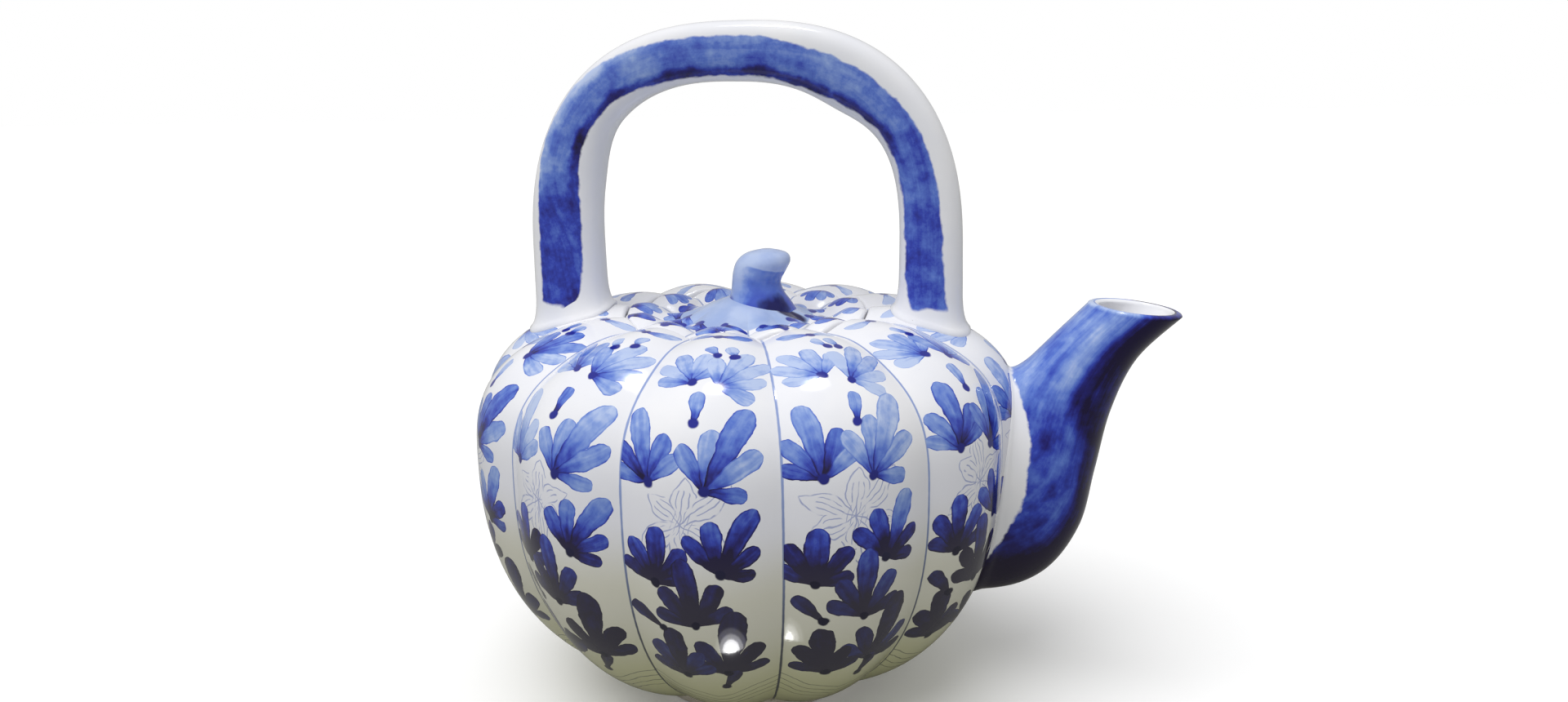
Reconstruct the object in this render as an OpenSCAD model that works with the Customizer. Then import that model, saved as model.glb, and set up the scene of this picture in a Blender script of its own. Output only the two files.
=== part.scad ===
// Pumpkin-shaped porcelain teapot with an overhead handle, a swan-neck spout and a lift-off lid.
// Millimetres, +Z up. The origin is the centre of the foot ring's resting plane.
// +X points to the spout, and the handle stands in the plane y = 0.

/* [Body] */
// Radius of the body over its lobes, at the widest place
body_r = 75; // [68:1:82]
// Height of the widest place above the table
waist_z = 70.7; // [68:0.1:74]
// Height of the crown above the widest place
crown_h = 38.7; // [37:0.1:41]
// Depth of the belly below the widest place
belly_h = 71; // [69:0.5:72]
// Squareness of the shoulders: 2 is an ellipse
crown_n = 3; // [2.6:0.1:3.2]
// Squareness of the belly: 2 is an ellipse
belly_n = 2.3; // [2.1:0.1:2.5]
// Number of lobes
lobes = 12; // [10:2:16]
// Depth of the grooves between lobes, at the widest place
groove_depth = 3.2; // [2:0.1:4]
// Depth of the grooves between lobes, round the mouth
crown_groove = 2.2; // [1.8:0.1:3.2]
// Thickness of the wall behind a groove
wall = 3; // [2.5:0.1:3.5]

/* [Foot] */
// Height of the foot ring
foot_h = 4; // [3:0.5:5]
// Outer radius of the foot ring where it meets the body
foot_r = 31; // [29:0.5:31]
// Width of the foot ring
foot_w = 4.5; // [3:0.5:6]

/* [Mouth and lid] */
// Radius of the mouth in the crown
mouth_r = 33.6; // [33:0.1:34.5]
// Gap between the lid's rim and the mouth
lid_gap = 0.4; // [0.3:0.05:0.6]
// Height of the ledge that the lid rests on
seat_z = 99.5; // [99:0.1:100]
// Inner radius of the ledge
seat_r = 30.3; // [29.8:0.1:30.6]
// Length of the collar under the lid
collar_h = 10; // [6:0.5:14]
// Height of the lid's middle, under the stem
lid_top_z = 110; // [109:0.5:111]
// Height of the valley round the lid's middle
valley_z = 104; // [103.5:0.1:104.5]
// Turn of the lid's lobes against the body's lobes, in degrees
lid_turn = -5; // [-15:1:15]
// Diameter of the steam hole
vent_d = 3; // [2:0.5:4]
// Height of the stem's top
stem_top_z = 122.5; // [120:0.5:126]

/* [Handle] */
// Half the distance between the middles of the two legs
arch_r = 50.3; // [48:0.1:52]
// Height of the middle of the handle at its top
arch_top_z = 175; // [170:0.1:180]
// Height where the legs start to curve
arch_spring_z = 122; // [118:1:126]
// Squareness of the arch: 2 is an ellipse
arch_n = 2.6; // [2.2:0.1:3]
// Depth of the handle, front to back
grip_d = 17; // [14:0.5:20]
// Thickness of the handle at the top of the arch
grip_t = 15.2; // [13:0.1:18]
// Extra thickness of the legs
leg_extra = 2.2; // [0:0.1:3]
// Extra thickness inside the shoulder that is over the spout
shoulder_swell = 3.2; // [0:0.1:3.5]
// Extra thickness inside the leg that is away from the spout
leg_swell = 2; // [0:0.1:2.4]

/* [Spout] */
// Thickness of the spout's wall
spout_wall = 3; // [2.5:0.1:3.5]
// Diameter of each strainer hole
strainer_d = 5; // [3:0.5:6]
// Spacing of the strainer holes
strainer_pitch = 9; // [8:0.5:10]
// Height of the strainer's middle
strainer_z = 56; // [52:1:60]
// How far the spout spreads where it meets the body
root_flare = 2.2; // [0:0.1:3]

/* [Hidden] */
$fn = 96;

glaze_white = [0.93, 0.94, 0.96];
cobalt = [0.16, 0.27, 0.66];
pale_cobalt = [0.55, 0.66, 0.88];
bare_clay = [0.88, 0.86, 0.82];

body_rings = 26;        // rings of points up the body
lobe_steps = 6;         // points across one lobe
foot_groove = 0.45;     // share of the groove's depth that is left at the foot
crown_groove_r = 42;    // the grooves have the crown's depth inside this radius
waist_groove_r = 62;    // and the waist's depth outside this one
roll_r = 52;            // inside this radius the crown rolls in towards the mouth
roll_drop = 1.8;        // how far it has dropped at the mouth
over = 20;              // cutters reach this far past what they cut
inner_r = 29;           // the body's outer form is closed inside the mouth, at this radius
floor_z = 8;            // inside floor of the pot

gallery_r = 42;         // outer radius of the ledge ring, under the crown
gallery_t = 3.2;        // its thickness

lid_r = mouth_r - lid_gap;
lid_seat_gap = 0.2;     // the lid's seat stands this far above the ledge
lid_seat_z = seat_z + lid_seat_gap;
flange_r = seat_r - lid_gap;
flange_t = 2.8;
valley_r = 22;          // radius of the valley round the lid's middle
brim_r = 29;            // radius where the lid's brim is highest
brim_z = 106.8;
rim_z = 106.3;
flute_start_r = 9;      // the lid's flutes start here
flute_depth = 2.4;
lid_rings = 12;
lid_inner_r = 2.5;      // the lid's form is closed at this radius, under the stem
hollow_r = 17;          // the hollow under the lid's middle
hollow_h = 4.4;
hollow_edge = 0.8;
vent_r = 21;            // distance of the steam hole from the middle
vent_turn = 10;

leg_bottom_z = 92;      // the legs run on into the body's form and are cut off by it
leg_share = 0.22;       // share of the middle line that is a straight leg, at each end
leg_start = 0.35;       // the handle thickens from here on
shoulder_at = 0.27;     // where the swelling inside the shoulder is thickest
shoulder_reach = 0.19;  // and how far it reaches
leg_swell_start = -0.4; // the swelling inside the leg starts here
leg_swell_full = -0.65; // and is whole here
leg_steps = 7;
arch_steps = 28;
grip_sides = 20;
grip_n = 3;             // squareness of the handle's section
flare = 2.2;            // how far the handle's feet spread where they meet the body
flare_h = 7;            // over this height above the body

spout_sides = 28;
spout_rings = 24;
lip_rise = 0.8;
root_flare_h = 7;       // the spout's spread fades out over this distance from the body

stem_sides = 20;
stem_rings = 12;

// ---- small helpers ----

// Power that keeps the sign
function spow(v, p) = sign(v) * pow(abs(v), p);

// Smooth step from 0 to 1 between a and b
function ease(a, b, v) = let (t = min(1, max(0, (v - a) / (b - a)))) t * t * (3 - 2 * t);

// 0 on a lobe's crest and 1 in the groove between two lobes
function groove(angle) = 1 - abs(cos(lobes / 2 * angle));

// Unit vector
function unit(v) = v / norm(v);

// Point t of a smooth curve through the rows of keys, t from 0 to len(keys) - 1
function through(keys, t) =
    let (last = len(keys) - 1, i = min(last - 1, floor(t)), u = t - i,
         a = keys[max(0, i - 1)], b = keys[i], c = keys[i + 1], d = keys[min(last, i + 2)])
    0.5 * (2 * b + (c - a) * u + (2 * a - 5 * b + 4 * c - d) * u * u + (3 * b - a - 3 * c + d) * u * u * u);

// Skin of triangles over a stack of closed rings of the same length.
// The ends are closed with a fan about their middle.
module ring_solid(rings) {
    n = len(rings[0]);
    m = len(rings);
    low_mid = n * m;
    side = [for (j = [0:m - 2], i = [0:n - 1]) let (
        a = j * n + i, b = j * n + (i + 1) % n, c = a + n, d = b + n) each [[a, b, c], [b, d, c]]];
    low = [for (i = [0:n - 1]) [low_mid, (i + 1) % n, i]];
    high = [for (i = [0:n - 1]) [low_mid + 1, (m - 1) * n + i, (m - 1) * n + (i + 1) % n]];
    polyhedron(
        points = concat([for (r = rings) each r], [middle(rings[0]), middle(rings[m - 1])]),
        faces = [for (f = concat(side, low, high)) [f[2], f[1], f[0]]]);
}

// Skin over a stack of rings whose last ring meets its first, as on a tube with a wall
module ring_tube(rings) {
    n = len(rings[0]);
    m = len(rings);
    faces = [for (j = [0:m - 1], i = [0:n - 1]) let (
        k = (j + 1) % m, a = j * n + i, b = j * n + (i + 1) % n, c = k * n + i, d = k * n + (i + 1) % n)
        each [[c, b, a], [c, d, b]]];
    polyhedron(points = [for (r = rings) each r], faces = faces);
}

function middle(ring) = [for (k = [0:2]) let (v = [for (p = ring) p[k]]) (max(v) + min(v)) / 2];

// ---- body ----

// Crest line of the body at angle a: -90 is under the pot, 0 the widest place, 90 the crown.
// Gives radius and height.
function crest(a) =
    let (n = a > 0 ? crown_n : belly_n, h = a > 0 ? crown_h : belly_h,
         r = body_r * pow(cos(a), 2 / n), z = waist_z + h * spow(sin(a), 2 / n),
         roll = a > 0 ? pow(max(0, (roll_r - r) / (roll_r - mouth_r)), 2) : 0)
    [r, z - roll_drop * roll];

// Angle of the crest line where its height or its radius has a given value
function belly_angle(z) = -asin(pow((waist_z - z) / belly_h, belly_n / 2));
function crown_angle(r) = acos(pow(r / body_r, crown_n / 2));

low_angle = belly_angle(foot_h);
high_angle = crown_angle(inner_r);

// The crest line moved inwards by the groove, along its own normal
function body_point(a, angle) =
    let (p = crest(a), t = unit(crest(a + 0.5) - p),
         fade = foot_groove + (1 - foot_groove) * ease(foot_r, body_r, p[0]),
         deep = groove_depth + (crown_groove - groove_depth) * ease(waist_groove_r, crown_groove_r, p[0]),
         depth = groove(angle) * (a > 0 ? deep : groove_depth * fade),
         flat = a <= low_angle ? 0 : 1,
         r = p[0] - depth * (flat == 1 ? t[1] : 1), z = p[1] + depth * t[0] * flat)
    [r * cos(angle), r * sin(angle), z];

// The body's outer form, solid
module body_form() {
    angles = [for (j = [0:body_rings]) low_angle + (high_angle - low_angle) * j / body_rings];
    points = lobes * lobe_steps;
    ring_solid([for (a = angles) [for (i = [0:points - 1]) body_point(a, 360 * i / points)]]);
}

// The space inside the pot
module cavity() {
    r = body_r - groove_depth - wall;
    up = crown_h - groove_depth - wall;
    down = belly_h - wall - foot_h;
    a0 = -asin(pow((waist_z - floor_z) / down, belly_n / 2));
    a1 = asin(min(1, pow((seat_z - waist_z) / up, crown_n / 2)));
    steps = 32;
    side = [for (j = [0:steps]) let (
        a = a0 + (a1 - a0) * j / steps, n = a > 0 ? crown_n : belly_n, h = a > 0 ? up : down)
        [r * pow(cos(a), 2 / n), waist_z + h * spow(sin(a), 2 / n)]];
    rotate_extrude() polygon(concat([[0, floor_z]], side, [[0, seat_z]]));
}

// Holes through the wall behind the spout: one in the middle and six round it
module strainer_holes() {
    for (k = [0:6]) {
        turn = 60 * k;
        reach = k == 6 ? 0 : strainer_pitch;
        translate([body_r - over, reach * sin(turn), strainer_z + reach * cos(turn)])
            rotate([0, 90, 0]) cylinder(h = 2 * over, d = strainer_d, $fn = 32);
    }
}

module body_shell() {
    color(glaze_white) difference() {
        body_form();
        cavity();
        translate([0, 0, seat_z - 1]) cylinder(h = over, r = mouth_r);
        strainer_holes();
    }
}

module foot_ring() {
    bevel = 1;
    in_r = foot_r - foot_w;
    color(bare_clay) rotate_extrude() polygon([
        [in_r, foot_h], [in_r, bevel], [in_r + bevel, 0], [foot_r - 1 - bevel, 0],
        [foot_r - 1, bevel], [foot_r, foot_h]]);
}

module lid_gallery() {
    low_z = seat_z - gallery_t;
    color(glaze_white) rotate_extrude() polygon([
        [seat_r, low_z + 0.8], [seat_r + 0.8, low_z], [gallery_r - 2.4, low_z],
        [gallery_r, low_z + 1.6], [gallery_r, seat_z], [seat_r + 0.6, seat_z], [seat_r, seat_z - 0.6]]);
}

// ---- spout ----

// Sections of the spout, root first: upper edge x and z, lower edge x and z, half width
spout_keys = [
    [56, 84, 54, 30, 15],
    [66, 87, 69, 26.8, 15.4],
    [70.5, 88, 82.6, 32.6, 15.4],
    [72, 88.6, 91.6, 46, 15],
    [73.6, 89.6, 95.3, 63, 14.4],
    [77.2, 93, 98.8, 79.5, 13.2],
    [84, 100, 105, 93.8, 12.2],
    [91.7, 107.8, 116, 105, 12]];

// Radius of the body's crest line at height z
function crest_at(z) =
    let (up = z > waist_z, n = up ? crown_n : belly_n,
         lift = min(1, abs(z - waist_z) / (up ? crown_h : belly_h)))
    body_r * pow(cos(asin(pow(lift, n / 2))), 2 / n);

// How far the spout's skin spreads at point p, close to the body
function root_spread(p) =
    root_flare * pow(1 - ease(0, root_flare_h, norm([p[0], p[1]]) - crest_at(p[2])), 2);

// One ring of the spout, moved inwards by inset and upwards by rise
function spout_ring(t, inset, rise = 0) =
    let (k = through(spout_keys, t), top = [k[0], 0, k[1]], low = [k[2], 0, k[3]],
         c = (top + low) / 2, half = norm(top - low) / 2, u = unit(top - low))
    [for (i = [0:spout_sides - 1]) let (a = 360 * i / spout_sides,
        reach = u * (half - inset) * cos(a) - [0, (k[4] - inset) * sin(a), 0],
        spread = inset > 0 ? 0 : root_spread(c + reach))
        c + reach + unit(reach) * spread + [0, 0, rise]];

module spout() {
    last = len(spout_keys) - 1;
    stations = [for (j = [0:spout_rings]) last * j / spout_rings];
    outer = [for (t = stations) spout_ring(t, 0)];
    lip = [spout_ring(last, spout_wall / 2, lip_rise)];
    inner = [for (j = [spout_rings:-1:0]) spout_ring(stations[j], spout_wall)];
    color(cobalt) difference() {
        ring_tube(concat(outer, lip, inner));
        body_form();
    }
}

// ---- handle ----

// Middle line of the handle: s from -1 at the left foot to 1 at the right foot
function arch_point(s) =
    let (v = abs(s), t = max(0, (v - 1 + leg_share) / leg_share),
         a = 90 * min(1, v / (1 - leg_share)))
    [sign(s) * arch_r * pow(sin(a), 2 / arch_n), 0,
     arch_spring_z - (arch_spring_z - leg_bottom_z) * t
        + (arch_top_z - arch_spring_z) * pow(max(0, cos(a)), 2 / arch_n)];

// Height of the body's crown at radius r
function crown_at(r) = crest(crown_angle(min(r, body_r)))[1];

// How far the handle's skin spreads at point p, where it comes down onto the body
function spread_at(p) = flare * pow(1 - ease(0, flare_h, p[2] - crown_at(norm([p[0], p[1]]))), 3);

// How much thicker the handle is on its inside, at s along it
function inner_swell(s) =
    shoulder_swell * exp(-pow((s - shoulder_at) / shoulder_reach, 2))
    + leg_swell * ease(leg_swell_start, leg_swell_full, s);

// One ring of the handle: a rounded square across the middle line
function grip_ring(s) =
    let (p = arch_point(s), nudge = 0.004, along = unit(arch_point(s + nudge) - arch_point(s - nudge)),
         inwards = [along[2], 0, -along[0]],
         half_t = (grip_t + leg_extra * ease(leg_start, 1, abs(s))) / 2)
    [for (i = [0:grip_sides - 1]) let (a = 360 * i / grip_sides,
        thick = half_t + (cos(a) > 0 ? inner_swell(s) : 0),
        reach = inwards * thick * spow(cos(a), 2 / grip_n) + [0, grip_d / 2 * spow(sin(a), 2 / grip_n), 0])
        p + reach + unit(reach) * spread_at(p + reach)];

module handle_arch() {
    legs = [for (j = [0:leg_steps - 1]) 1 - leg_share * j / leg_steps];
    turns = [for (j = [0:arch_steps]) (1 - leg_share) * (1 - 2 * j / arch_steps)];
    stations = concat([for (v = legs) -v], [for (j = [arch_steps:-1:0]) turns[j]],
        [for (j = [leg_steps - 1:-1:0]) legs[j]]);
    color(cobalt) difference() {
        ring_solid([for (s = stations) grip_ring(s)]);
        body_form();
    }
}

// ---- lid ----

// Height of the lid's top over its lobes at radius r
function lid_crest(r) =
    r < valley_r ? valley_z + (lid_top_z - valley_z) * (1 + cos(180 * r / valley_r)) / 2 :
    r < brim_r ? valley_z + (brim_z - valley_z) * ease(valley_r, brim_r, r) :
    brim_z - (brim_z - rim_z) * pow((r - brim_r) / (lid_r - brim_r), 2);

function lid_point(r, angle) =
    [r * cos(angle), r * sin(angle),
     lid_crest(r) - flute_depth * ease(flute_start_r, brim_r, r) * groove(angle - lid_turn)];

// The lid's top as a solid that stands on the ledge
module lid_form() {
    edge = lid_r + 1.5;
    points = lobes * lobe_steps;
    radii = [for (j = [0:lid_rings]) edge + (lid_inner_r - edge) * j / lid_rings];
    base = [for (i = [0:points - 1]) let (a = 360 * i / points) [edge * cos(a), edge * sin(a), lid_seat_z]];
    ring_solid(concat([base], [for (r = radii) [for (i = [0:points - 1]) lid_point(r, 360 * i / points)]]));
}

module lid_cap() {
    steps = 10;
    hollow = [for (j = [0:steps]) let (r = hollow_r * (1 - j / steps))
        [r, lid_seat_z + hollow_edge + hollow_h * (1 + cos(180 * r / hollow_r)) / 2]];
    color(glaze_white) difference() {
        intersection() {
            lid_form();
            translate([0, 0, lid_seat_z - 1]) cylinder(h = over, r = lid_r);
        }
        rotate_extrude() polygon(concat([[0, lid_seat_z - 1], [hollow_r, lid_seat_z - 1]], hollow));
        rotate([0, 0, vent_turn]) translate([vent_r, 0, lid_seat_z - 1]) cylinder(h = over, d = vent_d);
    }
}

module lid_flange() {
    in_r = flange_r - flange_t;
    low_z = lid_seat_z - collar_h;
    color(glaze_white) rotate_extrude() polygon([
        [in_r, low_z + 0.8], [in_r + 0.8, low_z], [flange_r - 1.2, low_z],
        [flange_r, low_z + 1.6], [flange_r, lid_seat_z], [in_r, lid_seat_z]]);
}

// Sections of the stem, root first: middle x, height, half width and half depth
stem_keys = [
    [3.8, 105, 10.4, 9.4],
    [3.6, 108, 8.8, 8.2],
    [3.2, 110.5, 7.4, 7],
    [2.9, 113.5, 6.7, 6.4],
    [3.8, 116.5, 7.2, 6.8],
    [5, 119.3, 7.3, 6.8],
    [5.8, 121.4, 5.6, 5.2],
    [6, stem_top_z, 1.6, 1.5]];

function stem_ring(t) =
    let (k = through(stem_keys, t))
    [for (i = [0:stem_sides - 1]) let (a = 360 * i / stem_sides)
        [k[0] + k[2] * cos(a), k[3] * sin(a), k[1]]];

module lid_stem() {
    last = len(stem_keys) - 1;
    color(pale_cobalt) difference() {
        ring_solid([for (j = [0:stem_rings]) stem_ring(last * j / stem_rings)]);
        lid_form();
    }
}

body_shell();
foot_ring();
lid_gallery();
spout();
handle_arch();
lid_cap();
lid_flange();
lid_stem();
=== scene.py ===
"""Looks of a pumpkin-shaped porcelain teapot with cobalt brush painting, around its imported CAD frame.

Shapes are worked out in millimetres, with the same outlines as the CAD part, and become metres as
each mesh is made. +X points to the spout, and the handle stands in the plane y = 0.
"""

import bisect
import math
from collections import namedtuple

import bpy
from mathutils import Matrix, Vector


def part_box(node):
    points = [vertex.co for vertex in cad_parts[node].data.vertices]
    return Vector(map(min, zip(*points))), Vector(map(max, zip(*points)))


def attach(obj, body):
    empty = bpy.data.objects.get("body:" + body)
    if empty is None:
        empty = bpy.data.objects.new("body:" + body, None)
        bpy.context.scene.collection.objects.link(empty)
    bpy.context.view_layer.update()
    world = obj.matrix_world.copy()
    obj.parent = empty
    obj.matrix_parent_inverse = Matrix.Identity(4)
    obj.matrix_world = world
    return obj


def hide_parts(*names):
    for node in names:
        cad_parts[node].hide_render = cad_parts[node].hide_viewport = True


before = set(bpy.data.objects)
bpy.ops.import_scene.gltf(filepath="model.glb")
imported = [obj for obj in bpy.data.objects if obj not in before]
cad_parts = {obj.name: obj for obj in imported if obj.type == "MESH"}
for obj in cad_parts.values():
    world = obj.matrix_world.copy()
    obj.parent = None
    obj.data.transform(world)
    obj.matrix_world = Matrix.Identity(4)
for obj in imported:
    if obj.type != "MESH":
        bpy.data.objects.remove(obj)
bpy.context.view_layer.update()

MM = 0.001
TURN = 2 * math.pi


def span(node):
    """Lowest and highest corner of a CAD node, in millimetres."""
    low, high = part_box(node)
    return low / MM, high / MM


BODY_LOW, BODY_HIGH = span("body_shell")
_, FOOT_HIGH = span("foot_ring")
GALLERY_LOW, GALLERY_HIGH = span("lid_gallery")
_, SPOUT_HIGH = span("spout")
_, ARCH_HIGH = span("handle_arch")
LID_LOW, LID_HIGH = span("lid_cap")
FLANGE_LOW, FLANGE_HIGH = span("lid_flange")
_, STEM_HIGH = span("lid_stem")

# ---- sizes of the body, mm ----

LOBES = 12
BODY_R = BODY_HIGH.x
WAIST_Z = 70.7                      # height of the widest place
CROWN_H = 38.7                      # from the waist up to the top of the outline
BELLY_H = 71                        # and down to its lowest point
CROWN_N, BELLY_N = 3, 2.3           # squareness of the outline above and below the waist
GROOVE_DEPTH, CROWN_GROOVE = 3.2, 2.2
WAIST_GROOVE_R, CROWN_GROOVE_R = 62, 42   # the grooves change between these radii, above the waist
CREASE = 0.05                       # roundness of the bottom of a groove
FOOT_GROOVE = 0.45                  # share of the groove's depth that is left at the foot
ROLL_R, ROLL_DROP = 52, 1.8         # inside this radius the crown rolls down to the mouth
WALL = 3
MOUTH_R = LID_HIGH.x + 0.4
LIP = 0.9                           # rounding of the mouth's edge
SEAT_Z = GALLERY_HIGH.z
FLOOR_Z = BODY_LOW.z + 4
FOOT_WIDTH, LEDGE_INNER_R, COLLAR_WALL = 4.5, 30.3, 2.8
STRAINER_R, STRAINER_PITCH, STRAINER_Z = 2.5, 9, 56
STEPS_ACROSS_LOBE = 24
BODY_RINGS = 112
CREST_STEP = 0.0087                 # the crest's direction is taken over this angle

# ---- sizes of the lid, mm ----

LID_R, LID_SEAT_Z = LID_HIGH.x, LID_LOW.z
LID_TOP_Z, VALLEY_Z, BRIM_Z, RIM_Z = 110, 104, 106.8, 106.3
VALLEY_R, BRIM_R = 22, 29
BRIM_EDGE = 0.3                     # paint ends where the brim's edge is steeper than this
LID_TURN = math.radians(-5)         # the lid stands slightly turned in the mouth
FLUTE_START_R, FLUTE_DEPTH = 9, 2.4
HOLLOW_R, HOLLOW_EDGE, HOLLOW_H = 17, 0.8, 4.4
VENT_R, VENT_TURN, VENT_RADIUS = 21, math.radians(10), 1.5

# ---- sizes of the handle and the spout, mm ----

ARCH_R, ARCH_SPRING_Z, ARCH_N = 50.3, 122, 2.6
GRIP_T, LEG_EXTRA, GRIP_N = 15.2, 2.2, 3
GRIP_D = 17
ARCH_TOP_Z = ARCH_HIGH.z - GRIP_T / 2
LEG_BOTTOM_Z, LEG_SHARE, LEG_START = 92, 0.22, 0.35
SHOULDER_SWELL, SHOULDER_AT, SHOULDER_REACH = 3.2, 0.27, 0.19
LEG_SWELL, LEG_SWELL_START, LEG_SWELL_FULL = 2, -0.4, -0.65
FLARE, FLARE_H = 2.2, 7             # how far the handle's feet spread, and over what height
SPOUT_WALL, LIP_RISE = 3, 0.8
SPOUT_SIDES, SPOUT_STATIONS = 96, 84
ROOT_FLARE, ROOT_FLARE_H = 2.2, 7
EMBED = 0.8                         # luted members reach this far into the skin of the body
UNPAINTED = -50.0                   # a place that no brush reaches, such as the inside of the pot

# Sections of the spout, root first: upper edge x and z, lower edge x and z, half width
SPOUT_KEYS = [
    (56, 84, 54, 30, 15),
    (66, 87, 69, 26.8, 15.4),
    (70.5, 88, 82.6, 32.6, 15.4),
    (72, 88.6, 91.6, 46, 15),
    (73.6, 89.6, 95.3, 63, 14.4),
    (77.2, 93, 98.8, 79.5, 13.2),
    (84, 100, 105, 93.8, 12.2),
    (91.7, 107.8, SPOUT_HIGH.x, 105, 12),
]

# Sections of the stem, root first: middle x, height, half width and half depth
STEM_KEYS = [
    (3.8, 105, 10.4, 9.4),
    (3.6, 108, 8.8, 8.2),
    (3.2, 110.5, 7.4, 7),
    (2.9, 113.5, 6.7, 6.4),
    (3.8, 116.5, 7.2, 6.8),
    (5, 119.3, 7.3, 6.8),
    (5.8, 121.4, 5.6, 5.2),
    (6, STEM_HIGH.z, 1.6, 1.5),
]


# ---- small helpers ----

def ease(low, high, value):
    """Smooth step from 0 at low to 1 at high."""
    share = min(1.0, max(0.0, (value - low) / (high - low)))
    return share * share * (3 - 2 * share)


def signed_power(value, power):
    return math.copysign(abs(value) ** power, value)


def through(keys, t):
    """Point t of a smooth curve through the rows of keys, t from 0 to len(keys) - 1."""
    last = len(keys) - 1
    i = min(last - 1, int(t))
    u = t - i
    rows = zip(keys[max(0, i - 1)], keys[i], keys[i + 1], keys[min(last, i + 2)])
    return [
        0.5 * (2 * b + (c - a) * u + (2 * a - 5 * b + 4 * c - d) * u * u + (3 * b - a - 3 * c + d) * u ** 3)
        for a, b, c, d in rows
    ]


def on_lobe(corner, middle, turn=0.0):
    """Number of the lobe that a face's middle is on, and its corner's angle from that lobe's crest."""
    number = math.floor((math.atan2(middle.y, middle.x) - turn) / TURN * LOBES + 0.5) % LOBES
    offset = math.atan2(corner.y, corner.x) - turn - number * TURN / LOBES
    return number, math.remainder(offset, TURN)


def from_groove(corner, middle, turn=0.0):
    """Mm from a corner to the nearest groove, and the number of the lobe."""
    number, offset = on_lobe(corner, middle, turn)
    return (math.pi / LOBES - abs(offset)) * math.hypot(corner.x, corner.y), number


def groove(angle):
    """0 on a lobe's crest and 1 in the groove between two lobes, with a rounded bottom."""
    wave = math.sqrt(math.cos(LOBES / 2 * angle) ** 2 + CREASE ** 2)
    full = math.sqrt(1 + CREASE ** 2)
    return (full - wave) / (full - CREASE)


def lobe_angles():
    """Angles of a ring's points, crowded towards the grooves."""
    half = STEPS_ACROSS_LOBE // 2
    offsets = [math.sin(i / half * math.pi / 2) * math.pi / LOBES for i in range(-half, half)]
    return [lobe * TURN / LOBES + offset for lobe in range(LOBES) for offset in offsets]


# ---- meshes ----

def put(name, data):
    """A new object in the scene."""
    made = bpy.data.objects.new(name, data)
    bpy.context.scene.collection.objects.link(made)
    return made


def plain_mesh(name, surface):
    """An object with a surface of points, in millimetres, and faces."""
    points, faces = surface
    mesh = bpy.data.meshes.new(name)
    mesh.from_pydata([Vector(p) * MM for p in points], [], faces)
    return put(name, mesh)


def make_piece(name, surface, body, replaced, material):
    """A smooth piece that rides on a body and stands for a CAD node."""
    piece = plain_mesh(name, surface)
    piece.data.validate()
    piece.data.update()
    piece.data.shade_smooth()
    piece.data.materials.append(material)
    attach(piece, body)
    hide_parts(replaced)
    return piece


def skin(rings, closed=False, flipped=False):
    """Points and faces of a skin over a stack of closed rings. A ring of one point is a pole.
    A closed stack's last ring meets its first, and a flipped skin faces the other way."""
    points, starts = [], []
    for ring in rings:
        starts.append(len(points))
        points.extend(ring)
    faces = []
    for lower in range(len(rings) if closed else len(rings) - 1):
        upper = (lower + 1) % len(rings)
        count = max(len(rings[lower]), len(rings[upper]))
        for i in range(count):
            k = (i + 1) % count
            corners = []
            for ring, column in ((lower, i), (lower, k), (upper, k), (upper, i)):
                corner = starts[ring] + (column if len(rings[ring]) > 1 else 0)
                if corner not in corners:
                    corners.append(corner)
            faces.append(corners[::-1] if flipped else corners)
    return points, faces


def map_corners(piece, name, place):
    """Stores place(corner, middle of the face, the face's direction), in mm, as a UV map."""
    layer = piece.data.uv_layers.new(name=name)
    corners = piece.data.vertices
    for face in piece.data.polygons:
        middle = face.center / MM
        for loop in face.loop_indices:
            corner = corners[piece.data.loops[loop].vertex_index].co / MM
            layer.data[loop].uv = place(corner, middle, face.normal)


def map_vertices(piece, name, place):
    """Stores place(number of the vertex) as a UV map."""
    layer = piece.data.uv_layers.new(name=name)
    for loop in piece.data.loops:
        layer.data[loop.index].uv = place(loop.vertex_index)


def lathe(outline):
    """Skin of a ring whose cross-section is a closed outline of (radius, height)."""
    sides = 144
    angles = [TURN * i / sides for i in range(sides)]
    rings = [[(r * math.cos(a), r * math.sin(a), z) for a in angles] for r, z in outline]
    return skin(rings, closed=True)


def rounded(corners, steps=4):
    """An outline through (x, y, rounding) corners, each rounded by a short curve."""
    outline = []
    for i, (x, y, radius) in enumerate(corners):
        here = Vector((x, y))
        before = Vector(corners[i - 1][:2]) - here
        after = Vector(corners[(i + 1) % len(corners)][:2]) - here
        start = here + before.normalized() * radius
        end = here + after.normalized() * radius
        for k in range(steps + 1):
            u = k / steps
            outline.append(tuple(start * (1 - u) ** 2 + here * 2 * u * (1 - u) + end * u * u))
    return outline


# ---- body ----

def outline_half(side, up=CROWN_H, down=BELLY_H):
    """Squareness and height of an outline's half over the waist, where side is above 0, or under it."""
    return (CROWN_N, up) if side > 0 else (BELLY_N, down)


def outline_point(a, r, up, down):
    """Radius and height on an outline of radius r at the waist, where a is 0, that reaches up and down
    from it. The body's skin and the space inside it have outlines of this kind."""
    n, h = outline_half(a, up, down)
    return r * math.cos(a) ** (2 / n), WAIST_Z + h * signed_power(math.sin(a), 2 / n)


def crest(a):
    """Radius and height of the body's skin over a lobe's crest."""
    r, z = outline_point(a, BODY_R, CROWN_H, BELLY_H)
    if a > 0 and r < ROLL_R:
        z -= ROLL_DROP * ((ROLL_R - r) / (ROLL_R - MOUTH_R)) ** 2
    return r, z


def belly_angle(z):
    return -math.asin(((WAIST_Z - z) / BELLY_H) ** (BELLY_N / 2))


def crown_angle(r):
    return math.acos((r / BODY_R) ** (CROWN_N / 2))


LOW_ANGLE = belly_angle(BODY_LOW.z)


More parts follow.
